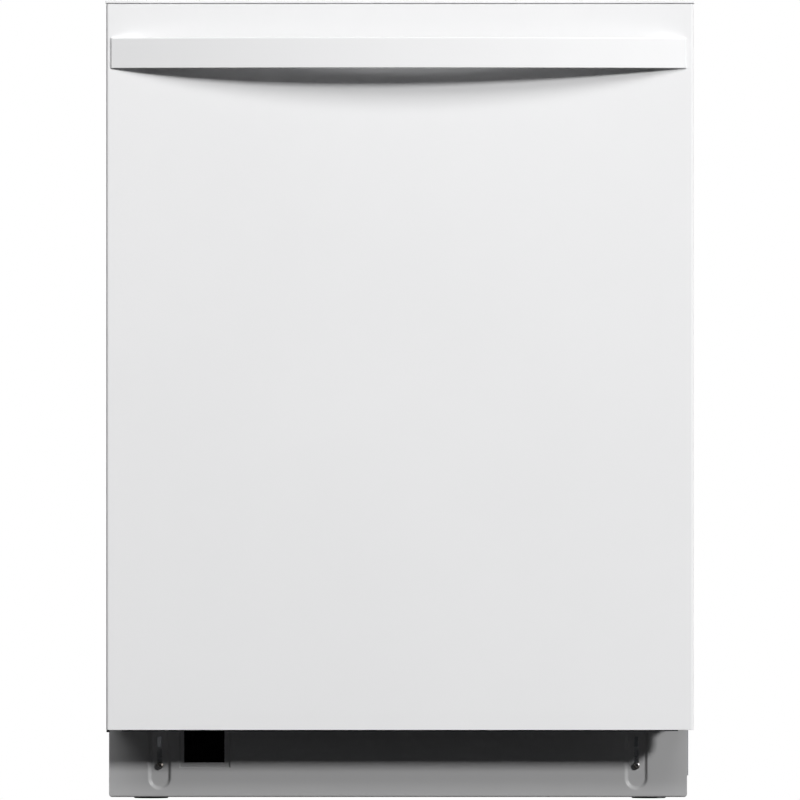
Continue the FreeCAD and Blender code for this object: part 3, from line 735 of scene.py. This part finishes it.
def toe_kick_panel():
    """The toe-kick sheet with two slotted dishes and a vent, its screws, and the vent's mesh."""
    low, high = extent("toe_kick_panel")
    screw_low, screw_high = extent("toe_kick_screws")
    grille_low, grille_high = extent("toe_kick_grille")
    slots = (screw_low[0] + SCREW_RADIUS, screw_high[0] - SCREW_RADIUS)
    vent0, vent1 = grille_low[0] + 4, grille_high[0] - 4
    border = (vent0 - 4.4, vent1 + 5.4, VENT_LOW - 5.2, BORDER_TOP)

    def dish(x, z):
        deepest = 0.0
        for slot_x in slots:
            nearest = min(max(z, DISH_BASE + DISH_HALF), DISH_TOP)
            away = math.hypot(x - slot_x, z - nearest)
            wall = smooth_step((DISH_HALF - away) / (DISH_HALF - DISH_FLOOR))
            deepest = max(deepest, wall)
        return deepest * DISH_DEPTH

    def sunk_border(x, z):
        inside = min(x - border[0], border[1] - x, z - border[2], border[3] - z)
        return VENT_STEP * smooth_step(inside / 0.9 + 0.5)

    columns = lines(
        span(low[0], high[0], 9),
        *[span(slot_x - SLOT_GRID_HALF, slot_x + SLOT_GRID_HALF, SLOT_GRID) for slot_x in slots],
        [edge + step for edge in border[:2] for step in (-BORDER_LIP, 0, BORDER_LIP)],
        [vent0, vent1],
    )
    columns = [min(max(x, low[0]), high[0]) for x in columns]
    step_z = [border[2] - BORDER_LIP, border[2] + BORDER_LIP, VENT_LOW, VENT_HIGH]
    rows_z = lines(span(5.0, high[2], 1.0), step_z)
    bends = [math.radians(a) for a in range(0, 91, 18)]
    fold = [(TOE_FOLD * (1 - math.cos(a)), TOE_FOLD * (1 - math.sin(a))) for a in bends]
    verts = []
    faces = []

    def drawn_in(x, z):
        """x moved inwards near the panel's rounded lower corners."""
        reach = max(0.0, TOE_CORNER - (z - low[2]))
        inset = TOE_CORNER - math.sqrt(max(0.0, TOE_CORNER ** 2 - reach ** 2))
        for edge, sign in ((low[0], 1), (high[0], -1)):
            away = (x - edge) * sign
            if away < CORNER_REACH:
                x += sign * inset * (1 - away / CORNER_REACH)
        return x

    rows = [(None, z) for z in reversed(rows_z)]
    rows += [(back, low[2] + up) for back, up in fold] + [(v, low[2]) for v in (3.5, 6.0, 8.0)]
    for back, z in rows:
        for x in columns:
            depth = dish(x, z) + sunk_border(x, z) if back is None else back
            verts.append(spot(drawn_in(x, z), low[1] + depth, z))
    width = len(columns)
    for i in range(len(rows) - 1):
        for j in range(width - 1):
            x = (columns[j] + columns[j + 1]) / 2
            z = (rows[i][1] + rows[i + 1][1]) / 2
            if vent0 < x < vent1 and VENT_LOW < z < VENT_HIGH and rows[i + 1][0] is None:
                continue
            k = i * width + j
            faces.append((k, k + width, k + width + 1, k + 1))
    panel = build("toe_kick_pressing", verts, faces, crease=50)
    thick = panel.modifiers.new("sheet", "SOLIDIFY")
    thick.thickness = SHEET / 1000
    thick.offset = -1.0 if panel.data.polygons[0].normal.y < 0 else 1.0
    for slot_x in slots:
        cutter = Solid()
        outline = []
        for centre_z, start in ((SLOT_HIGH, 0), (SLOT_LOW, 180)):
            for k in range(13):
                a = math.radians(start + 15 * k)
                outline.append((slot_x + SLOT_RADIUS * math.cos(a), centre_z + SLOT_RADIUS * math.sin(a)))
        ends = [[spot(x, low[1] + d, z) for x, z in outline] for d in (-2, 8)]
        cutter.loft(ends)
        tool = build("slot_tool", cutter.verts, cutter.faces)
        cut = panel.modifiers.new("slot", "BOOLEAN")
        cut.object = tool
        cut.solver = "EXACT"
        settle(panel)
        bpy.data.objects.remove(tool)
    panel.data.set_sharp_from_angle(angle=math.radians(40))
    # Painted shade: the panel's white enamel is darkened for the shade under the door.
    dress(panel, TOE_PAINTED_SHADE)
    adopt(panel, "toe_kick", "white_enamel", ("toe_kick_panel",))

    screws = Solid()
    shank = [(0.05, -0.4), (3.4, -0.4), (SCREW_RADIUS, 0), (2.0, 0.2), (2.0, 16.4), (1.2, 17), (0.05, 17)]
    for slot_x in slots:
        seat = spot(slot_x, screw_low[1] + 1.9, 34)
        screws.lathe(seat, (0, 1, 0), shank, 24)
        screw_head(screws, seat, (0, -1, 0), SCREW_RADIUS)
    screws.piece("toe_kick_screw_pair", "cabinet", "spring_steel", ("toe_kick_screws",))

    grille = Solid()
    for k in range(10):
        x = vent0 + 1.0 + k * (vent1 - vent0 - 2.0) / 9
        grille.block((x - BAR_HALF, low[1] + 2.5, VENT_LOW - 3), (x + BAR_HALF, low[1] + 3.6, 80.8), 0.2)
        z = VENT_LOW + 1.0 + k * (VENT_HIGH - VENT_LOW - 2.0) / 9
        cross = (vent0 - 3.4, low[1] + 2.7, z - BAR_HALF), (vent1 + 3.4, low[1] + 3.4, z + BAR_HALF)
        grille.block(*cross, 0.2)
    for x0, x1 in ((vent0 - 3.8, vent0 - 0.6), (vent1 + 0.6, vent1 + 3.8)):
        grille.block((x0, low[1] + 2.5, 32.2), (x1, low[1] + 4.2, 80.9), 0.4)
    # A thin dark sheet behind the bars closes the opening: painted shade standing in for the dark space
    # behind the vent.
    grille.block((vent0 - 3.8, low[1] + 4.2, 32.2), (vent1 + 3.8, low[1] + 4.4, 80.9), 0.05)
    dress(grille.piece("toe_vent_mesh_and_shade_sheet", "toe_kick", "black_plastic", ("toe_kick_grille",)), VENT_BLACK_AND_PAINTED_SHADE)


# -------- racks
WIRE = 2.0
RIM = 2.6
TINE = 1.6
WIRE_BEND = 0.014
RAIL_IN = 3.4
RACK_HALF_UPPER = 236.0
LOWER_DEPTH = 148.0
UPPER_DEPTH = 128.0
CELLS_ACROSS = 14
CELLS_DEEP = 10
PLATE_TINE_X = (-195, -154, -113, -72)
UPPER_TINE_X = (-159, -99, 81, 141)
FOLD_D = 340
FOLD_Z = 194
WHEEL_X = 214.1
WHEEL_SPOKES = 5
GLIDE_X = 258.2
SHELF_X = (-226, -126)
SHELF_D = (130, 460)
SHELF_Z = 575


def loop_points(x0, x1, d0, d1, z, radius):
    return bent([spot(x, d, z) for x, d in ring(x0, x1, d0, d1)], radius / 1000, closed=True)


def hairpin(x, d, z0, z1, half, along_x):
    """An upside-down U of wire: one plate tine."""
    dx, dd = (half, 0) if along_x else (0, half)
    ends = (-1, z0), (-1, z1), (1, z1), (1, z0)
    return bent([spot(x + sign * dx, d + sign * dd, z) for sign, z in ends], half / 1000)


def basket_runs(node, depth):
    """Wires of a rack: U-bent cross and long wires, a thick rim and a lighter rail inside."""
    low, high = extent(node)
    rim_z = high[2] - RIM
    floor_z = rim_z - depth
    half = high[0] - RIM if node == "lower_rack" else RACK_HALF_UPPER
    front, back = low[1] + RIM, high[1] - RIM
    runs = []
    for k in range(1, CELLS_DEEP):
        d = front + k * (back - front) / CELLS_DEEP
        cross = [(-half, rim_z), (-half, floor_z), (half, floor_z), (half, rim_z)]
        runs.append((bent([spot(x, d, z) for x, z in cross], WIRE_BEND), WIRE, False))
    for k in range(1, CELLS_ACROSS):
        x = -half + k * 2 * half / CELLS_ACROSS
        along = [(front, rim_z), (front, floor_z + 4), (back, floor_z + 4), (back, rim_z)]
        runs.append((bent([spot(x, d, z) for d, z in along], WIRE_BEND), WIRE, False))
    runs.append((loop_points(-half, half, front, back, rim_z, 20), RIM, True))
    for share in (0.28, 0.62):
        rail = (RAIL_IN - half, half - RAIL_IN, front + RAIL_IN, back - RAIL_IN, floor_z + depth * share)
        runs.append((loop_points(*rail, 17), 1.5, True))
    return runs, floor_z, front, back, half


def lower_rack():
    """The lower rack: basket, wheel hangers, fixed and folding tines and its wheels."""
    runs, floor_z, front, back, _ = basket_runs("lower_rack", LOWER_DEPTH)
    wires("lower_rack_wires", runs, "lower_rack_body", "rack_coat", ("lower_rack",))
    hangers = Solid()
    top = floor_z - WIRE
    for number in range(1, 5):
        d, z = centre_of("lower_wheels_%d" % number)
        for side in (-1, 1):
            hangers.side_block(side, 216.2, 220.0, (d - 8, z - 8), (d + 8, top), 1.6)
            hangers.side_block(side, 214.4, 222.0, (d - 5, z + 5.2), (d + 5, top), 1.2)
    hangers.piece("lower_rack_hangers", "lower_rack_body", "grey_plastic")
    tines = []
    for x in PLATE_TINE_X:
        tines.append(([spot(x, front, floor_z + 7.4), spot(x, back, floor_z + 7.4)], TINE, False))
        for k in range(7):
            tines.append((hairpin(x, 130 + k * 26, floor_z + 7, 282, 4.2, False), TINE, False))
    wires("lower_rack_plate_tines", tines, "lower_rack_body", "rack_coat", ("lower_rack_tines",))
    fold = [([spot(40, FOLD_D, FOLD_Z), spot(232, FOLD_D, FOLD_Z)], 2.2, False)]
    for k in range(7):
        fold.append((hairpin(54 + k * 27, FOLD_D, FOLD_Z, 300, 4.2, True), TINE, False))
    wires("folding_tine_row", fold, "folding_tines_body", "rack_coat", ("folding_tines",))
    for number in range(1, 5):
        lower_wheel_pair(number)


WHEEL_PROFILE = [(0.05, 0), (3.6, 0), (3.95, 0.5), (3.95, 16), (5.5, 16.9), (8.6, 17.2), (9.2, 18.2),
                 (11, 18.2), (12.3, 17.4), (12.9, 18.2), (13, 19.4), (13, 24.8), (12.8, 26.2), (12.0, 27),
                 (10.2, 27), (9.5, 26.2), (9.2, 23.6), (5.4, 23.4), (5.1, 26.2), (4.3, 26.9), (0.05, 26.9)]


def lower_wheel_pair(number):
    """Two spoked wheels on one axle."""
    node = "lower_wheels_%d" % number
    d, z = centre_of(node)
    pair = Solid()
    for side in (-1, 1):
        pair.lathe(spot(side * WHEEL_X, d, z), (side, 0, 0), WHEEL_PROFILE, 40)
        for k in range(WHEEL_SPOKES):
            angle = 2 * math.pi * k / WHEEL_SPOKES
            rib = []
            for r, w in ((4.9, -0.9), (4.9, 0.9), (9.6, 0.9), (9.6, -0.9)):
                y = r * math.cos(angle) - w * math.sin(angle)
                h = r * math.sin(angle) + w * math.cos(angle)
                rib.append((y, h))
            pair.loft([[spot(side * x, d + y, z + h) for y, h in rib] for x in (237.2, 240.4)])
    pair.piece("lower_wheel_pair_%d" % number, node + "_body", "grey_plastic", (node,))


def upper_rack():
    """The upper rack: basket, tines, rail glides and the folding cup shelf."""
    runs, floor_z, front, back, half = basket_runs("upper_rack", UPPER_DEPTH)
    for x in UPPER_TINE_X:
        runs.append(([spot(x, front, floor_z + 7.4), spot(x, back, floor_z + 7.4)], TINE, False))
        for k in range(8):
            runs.append((hairpin(x, 135 + k * 45, floor_z + 7, 550, 6, False), TINE, False))
    wires("upper_rack_wires", runs, "upper_rack_body", "rack_coat", ("upper_rack",))
    glides = Solid()
    rail_z = centre_of("upper_rails")[1]
    for side in (-1, 1):
        for d in (345, 485):
            glides.side_block(side, half + WIRE - 0.5, GLIDE_X, (d - 6, rail_z - 4), (d + 6, rail_z + 4), 1.2)
            glides.side_block(side, GLIDE_X - 7, GLIDE_X, (d - 10, rail_z - 7), (d + 10, rail_z + 7), 1.6)
    glides.piece("upper_rack_glides", "upper_rack_body", "grey_plastic")
    corners = [spot(x, d, SHELF_Z) for d, x in ring(*SHELF_D, *SHELF_X)]
    shelf = [(bent(corners, 0.016, closed=True), RIM, True)]
    for k in range(12):
        shelf.append(([spot(x, 148 + k * 26.8, SHELF_Z) for x in SHELF_X], 1.8, False))
    wires("cup_shelf_wires", shelf, "cup_shelf_body", "rack_coat", ("cup_shelf",))


def cutlery_basket():
    """A lattice basket in six cells, with a carrying arch."""
    low, high = extent("cutlery_basket")
    rim_z = 300.0
    x0, d0, z0 = low
    x1, d1 = high[0], high[1]
    lattice = Solid()
    slat = 1.1

    def wall(start, stop, along_x, other, pitch, rails):
        for position in span(start + slat, stop - slat, pitch):
            a, b = (position, other) if along_x else (other, position)
            lattice.block((a - slat, b - slat, z0), (a + slat, b + slat, rim_z), 0.4)
        for z in rails:
            ends = (start, other - 1.5), (stop, other + 1.5)
            if not along_x:
                ends = [end[::-1] for end in ends]
            lattice.block((*ends[0], z - 1.8), (*ends[1], z + 1.8), 0.6)

    rails = (z0 + 1.8, z0 + 38, z0 + 74, rim_z - 1.8)
    for other in (d0 + 1.5, d1 - 1.5):
        wall(x0, x1, True, other, 6.4, rails)
    for other in (x0 + 1.5, x1 - 1.5):
        wall(d0, d1, False, other, 6.4, rails)
    wall(x0, x1, True, (d0 + d1) / 2, 12.0, rails[::3])
    for k in (1, 2):
        wall(d0, d1, False, x0 + k * (x1 - x0) / 3, 12.0, rails[::3])
    for x in span(x0 + 6, x1 - 6, 6.4):
        lattice.block((x - 0.9, d0 + 1, z0), (x + 0.9, d1 - 1, z0 + 2.4), 0.3)
    middle = (d0 + d1) / 2
    grip_z = high[2] - 3
    turns = [(x0 + 3, rim_z - 4), (x0 + 3, grip_z), (x1 - 3, grip_z), (x1 - 3, rim_z - 4)]
    arch = bent([spot(x, middle, z) for x, z in turns], 0.018)
    strip = [(-3, -2.4), (3, -2.4), (3.4, 0), (3, 2.4), (-3, 2.4), (-3.4, 0)]
    lattice.sweep(arch, strip, up=Vector((0, 1, 0)))
    lattice.piece("cutlery_lattice", "lower_rack_body", "grey_plastic", ("cutlery_basket",))


# -------- spray arms
ARM_STATIONS = 40
JET_PROFILE = [(3.4, 0), (3.2, 1.2), (2.5, 1.7), (1.4, 1.75), (1.2, 1.1), (0.05, 1.0)]


def spray_arm(name, body, node, length, width, hub, cap_top, sweep):
    """A hollow blade, fuller in the middle and swept at the tips, with a round hub and jets."""
    low, high = extent(node)
    middle_d, z = centre_of(node)
    thick = (high[2] - low[2] - 8) / 2
    arm = Solid()
    rows = []
    for k in range(ARM_STATIONS + 1):
        u = math.sin((2 * k / ARM_STATIONS - 1) * math.pi / 2)
        tip = math.sqrt(max(0.0004, 1 - abs(u) ** 7))
        half = width * (1 - 0.30 * u * u) * tip
        crown = thick * (1 - 0.25 * abs(u)) * max(0.25, tip)
        shift = sweep * math.sin(u * math.pi)
        row = []
        for m in range(20):
            a = 2 * math.pi * m / 20
            c, s = math.cos(a), math.sin(a)
            across = half * math.copysign(abs(c) ** 0.7, c)
            up = crown * math.copysign(abs(s) ** 0.8, s)
            row.append(spot(u * length, middle_d + shift + across, z + up))
        rows.append(row)
    arm.loft(rows)
    top = high[2] - z
    turned = [(0.62, -top), (0.95, -top + 0.4), (1, -top + 1.6), (1, top - 2), (0.94, top - 0.4), (0.72, top),
              (0.66, top + 0.1), (0.6, cap_top - 1.4), (0.5, cap_top), (0.05 / hub, cap_top)]
    arm.lathe(spot(0, middle_d, z), (0, 0, 1), [(hub * share, h) for share, h in turned], 48)
    for side in (-1, 1):
        for k in range(6):
            u = side * (0.30 + 0.62 * k / 5)
            jet_d = middle_d + sweep * math.sin(u * math.pi) + (width * 0.3 if k % 2 else -width * 0.3)
            crown = z + thick * (1 - 0.25 * abs(u)) * 0.86
            arm.lathe(spot(u * length, jet_d, crown - 1), (side * 0.2, 0, 1), JET_PROFILE, 20)
    arm.piece(name, body, "grey_plastic", (node,))


# -------- balance springs
COIL_R = 5.1
COIL_WIRE = 0.8
COIL_STEPS = 84 * 12
COIL_X = 281.0
COIL_Z = 92.0
COIL_BACK = 290
COIL_LENGTH = 196


def springs():
    """Close-wound coils with straight tails."""
    z = COIL_Z
    for side, label in ((-1, "left"), (1, "right")):
        x = side * COIL_X
        path = [spot(x, 304, z), spot(x, 297, z)]
        for k in range(COIL_STEPS + 1):
            a = 2 * math.pi * k / 12
            r = COIL_R * min(1.0, k / 10, (COIL_STEPS - k) / 10)
            d = COIL_BACK - k * COIL_LENGTH / COIL_STEPS
            path.append(spot(x + r * math.cos(a), d, z + r * math.sin(a)))
        path += bent([spot(x, 90, z), spot(x, 74, z), spot(side * 291.5, 74, z)], 0.004)
        coil = tubes("door_spring_" + label, [(path, COIL_WIRE, False)], resolution=1)
        dress(coil, FINISH["spring_steel"])
        if side < 0:
            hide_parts("door_springs")
        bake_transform(coil)


# -------- felt jacket
JACKET_THICK = 7.0
JACKET_ROWS = 240
JACKET_COLUMNS = 56
STRAP_DEPTHS = (182.0, 452.0)
STRAP_ROWS = 180
STRAP_PROFILE = ((-11, 0.9), (-10.4, 1.5), (0, 1.7), (10.4, 1.5), (11, 0.9), (10.4, 0.2), (-10.4, 0.2))


def jacket_path(t, half, top, bottom, radius):
    """Point and outward direction at share t of the way over the tub, left foot to right foot."""
    side = top - radius - bottom
    across = 2 * (half - radius)
    arc = math.pi * radius / 2
    s = t * (2 * side + across + 2 * arc)

    def corner(sign, a):
        c, h = math.cos(a), math.sin(a)
        return sign * (half - radius) + radius * c, top - radius + radius * h, c, h

    if s < side:
        return -half, bottom + s, -1, 0
    s -= side
    if s < arc:
        return corner(-1, math.pi - s / radius)
    s -= arc
    if s < across:
        return -half + radius + s, top, 0, 1
    s -= across
    if s < arc:
        return corner(1, math.pi / 2 - s / radius)
    return half, top - radius - (s - arc), 1, 0


def felt_jacket():
    low, high = extent("felt_jacket")
    half, top, bottom, radius = high[0] - 4.6, high[2] - 4.6, low[2], 28.0
    depth = high[1] - low[1]

    def swelling(t, v, d):
        """How far the felt stands out from its mean surface: soft billows, pinched at straps and seams."""
        swell = 2.0 * ripple(t * 16, v * 5, 1.0) + 0.5 * ripple(t * 60, v * 18, 7.0)
        pinch = sum(math.exp(-((d - strap) / 15) ** 2) for strap in STRAP_DEPTHS)
        swell = swell * (1 - 0.8 * pinch) - 2.0 * pinch
        for seam in (low[1] + 14, high[1] - 14):
            swell -= 1.6 * math.exp(-((d - seam) / 2.6) ** 2)
        return swell - 1.2 * (abs(2 * v - 1) ** 14 + abs(2 * t - 1) ** 60)

    rows = []
    for i in range(JACKET_ROWS + 1):
        t = i / JACKET_ROWS
        x, z, nx, nz = jacket_path(t, half, top, bottom, radius)
        row = []
        for j in range(JACKET_COLUMNS + 1):
            v = j / JACKET_COLUMNS
            wave = ripple(t * 9, v * 0.6, 4.0)
            edge = (2 * v - 1) ** 8
            d = low[1] + v * depth + wave * 4.0 * edge * (1 if v > 0.5 else -1) - (2 * v - 1) * edge * 3.0
            swell = swelling(t, v, d)
            ends = 3.0 * ripple(v * 6, t, 9.0) * abs(2 * t - 1) ** 40
            row.append(spot(x + nx * swell, d, z + nz * swell + (ends if nz == 0 else 0)))
        rows.append(row)
    blanket = Solid()
    blanket.grid(rows)
    jacket = build("felt_blanket", blanket.verts, blanket.faces, crease=80)
    thick = jacket.modifiers.new("felt", "SOLIDIFY")
    thick.thickness = JACKET_THICK / 1000
    thick.offset = 0.0
    rounder = jacket.modifiers.new("soft_edge", "SUBSURF")
    rounder.levels = 1
    rounder.render_levels = 1
    settle(jacket)
    adopt(jacket, "cabinet", "felt", ("felt_jacket",))
    straps = Solid()
    lift = JACKET_THICK / 2 - 0.9
    for strap in STRAP_DEPTHS:
        rows = []
        for i in range(STRAP_ROWS + 1):
            t = 0.004 + 0.992 * i / STRAP_ROWS
            x, z, nx, nz = jacket_path(t, half, top, bottom, radius)
            wobble = 1.2 * ripple(i * 0.05, strap, 0)
            row = []
            for across, up in STRAP_PROFILE:
                d = strap + across + wobble
                out = lift + up + max(-1.9, swelling(t, (d - low[1]) / depth, d))
                row.append(spot(x + nx * out, d, z + nz * out))
            rows.append(row)
        straps.loft(rows)
    dress(straps.piece("jacket_straps", "cabinet", "felt"), WOVEN_TAPE)


# -------- feet, beads and small fastenings
PAD_PROFILE = [(0.05, 0), (16.8, 0), (17.8, 0.9), (17.9, 3.4), (16.6, 5.4), (11.5, 6.6), (9.4, 7.9),
               (0.05, 7.9)]
NUT_PROFILE = [(0.05, 7.5), (8.0, 7.5), (8.6, 8.1), (8.6, 8.15), (8.0, 8.2), (0.05, 8.2)]
THREAD_PITCH = 1.75


def levelling_foot(node):
    """A moulded pad, a hexagon to turn it by and a threaded stud."""
    low, high = extent(node)
    centre = spot((low[0] + high[0]) / 2, (low[1] + high[1]) / 2, 0)
    foot = Solid()
    foot.lathe(centre, (0, 0, 1), PAD_PROFILE, 48)
    foot.lathe(centre, (0, 0, 1), NUT_PROFILE, 6)
    thread = [(0.05, 8.0), (5.4, 8.0)]
    for k in range(int((high[2] - 9.5) / THREAD_PITCH)):
        z = 8.4 + k * THREAD_PITCH
        thread += [(r, z + THREAD_PITCH * rise) for r, rise in ((5.2, 0), (5.9, 0.4), (5.9, 0.5), (5.2, 0.9))]
    thread += [(5.0, high[2] - 0.2), (0.05, high[2] - 0.2)]
    foot.lathe(centre, (0, 0, 1), thread, 28)
    foot.piece(node + "_stud", node + "_body", "galvanised", (node,))


def ridge_loop(solid, corners, radius, normal, width=9.0, height=1.4, sunk=0.5):
    """A rounded bead pressed up from a flat sheet, following a closed run of corners."""
    normal = Vector(normal)
    path = bent(corners, radius / 1000, 8, closed=True)
    half = width / 2
    profile = [(-half, -sunk), (-half, 0), (-half * 0.62, height * 0.55), (-half * 0.25, height),
               (half * 0.25, height), (half * 0.62, height * 0.55), (half, 0), (half, -sunk)]
    solid.sweep(path, profile, closed=True, up=normal)


def upright_loop(x0, x1, d, z0, z1):
    return [spot(x, d, z) for x, z in ring(x0, x1, z0, z1)]


def side_loop(x, d0, d1, z0, z1):
    return [spot(x, d, z) for d, z in ring(d0, d1, z0, z1)]


SHEET_SKIN = 1.0


def pressed_beads():
    """Stiffening beads in the tub walls and the door's inner sheet."""
    inner, back, ceiling = extent("tub")[1]
    tub = Solid()
    for x0, x1 in ((-236, -44), (44, 236)):
        for z0, z1 in ((240, 440), (500, 726)):
            ridge_loop(tub, upright_loop(x0, x1, back - SHEET_SKIN, z0, z1), 26, (0, -1, 0))
        for z0, z1 in ((196, 440), (500, 742)):
            ridge_loop(tub, upright_loop(x0, x1, back, z0, z1), 26, (0, 1, 0), 11, 1.8)
    for side in (-1, 1):
        for z0, z1 in ((220, 420), (650, 740)):
            wall = side_loop(side * (inner - SHEET_SKIN), 110, 500, z0, z1)
            ridge_loop(tub, wall, 30, (-side, 0, 0))
    corners = [spot(x, d, ceiling - SHEET_SKIN) for x, d in ring(-215, 215, 110, 500)]
    ridge_loop(tub, corners, 36, (0, 0, -1))
    tub.piece("tub_beads", "cabinet", "stainless")
    face = extent("door_inner_liner")[1][1]
    door = Solid()
    ridge_loop(door, upright_loop(-250, 250, face, 140, 748), 34, (0, 1, 0), 12, 1.6)
    fields = ((-222, 222, 168, 398, 26), (-222, -96, 432, 720, 22), (116, 222, 432, 720, 22))
    for x0, x1, z0, z1, radius in fields:
        ridge_loop(door, upright_loop(x0, x1, face, z0, z1), radius, (0, 1, 0), 8, 1.2)
    door.piece("door_liner_beads", "door", "stainless")


MAT_CELLS = 60


def sound_mat():
    """Heavy black damping sheet stuck to the tub's back, embossed and slightly sagging."""
    wall = extent("tub")[1][1]
    rows = []
    for i in range(MAT_CELLS + 1):
        z = 262 + 440 * i / MAT_CELLS
        row = []
        for j in range(MAT_CELLS + 1):
            x = -34 + 68 * j / MAT_CELLS
            rim = min(i, MAT_CELLS - i, j, MAT_CELLS - j) / 2.0
            lift = 1.6 * smooth_step(rim) + 0.5 * ripple(x * 0.05, z * 0.02, 3.0)
            row.append(spot(x, wall + 0.1 + max(0.05, lift), z))
        rows.append(row)
    mat = Solid()
    mat.grid(rows)
    back = [[Vector((p.x, behind(wall - 0.3), p.z)) for p in row] for row in rows]
    mat.grid(back)
    for end in (0, -1):
        mat.grid([rows[end], back[end]])
    for end in (0, -1):
        mat.grid([[row[end] for row in rows], [row[end] for row in back]])
    mat.piece("tub_sound_mat", "cabinet", "bitumen")


def fastenings():
    """Screw heads on the cabinet and the door, and the bumper at the door's lower corner."""
    frame_face = extent("front_frame")[0][1]
    zinc_screws = Solid()
    for side in (-1, 1):
        for z in (230, 420, 610, 760):
            screw_head(zinc_screws, spot(side * 290.5, frame_face, z), (0, -1, 0), 3.6)
        for d in (130, 250, 370, 490):
            screw_head(zinc_screws, spot(side * 295, d, 100), (side, 0, 0), 3.8)
        for d, z in ((66, 108), (88, 94)):
            screw_head(zinc_screws, spot(side * 297, d, z), (side, 0, 0), 3.2)
        for x in (205, 225):
            screw_head(zinc_screws, spot(side * x, 76, 812.2), (0, 0, 1), 3.2)
        for x in (262, 120):
            screw_head(zinc_screws, spot(side * x, 551, 100), (0, 1, 0), 3.8)
    zinc_screws.piece("cabinet_screws", "cabinet", "galvanised")
    liner_screws = Solid()
    liner_face = extent("door_inner_liner")[1][1]
    for side in (-1, 1):
        for z in (150, 300, 450, 600, 740):
            screw_head(liner_screws, spot(side * 279, liner_face, z), (0, 1, 0), 2.6)
    liner_screws.piece("door_liner_screws", "door", "stainless")
    bumper = Solid()
    left, _, bottom = extent("door_outer_panel")[0]
    bumper.block((left + 0.1, 4, bottom - 2.4), (left + 3.3, 9, bottom - 0.1), 0.6)
    bumper.piece("door_corner_bumper", "door", "rubber_black")


handle_bar()
toe_kick_panel()
lower_rack()
upper_rack()
cutlery_basket()
spray_arm("lower_spray_blade", "lower_spray_arm_body", "lower_spray_arm", 190, 25, 24, 11.5, 6)
spray_arm("upper_spray_blade", "upper_spray_arm_body", "upper_spray_arm", 205, 22, 20, 11.0, 5)
spray_arm("top_spray_blade", "top_spray_rotor_body", "top_spray_rotor", 70, 16, 16, 7.5, 2)
springs()
felt_jacket()
for foot_node in ("foot_front_left", "foot_front_right", "foot_rear"):
    levelling_foot(foot_node)
pressed_beads()
sound_mat()
fastenings()
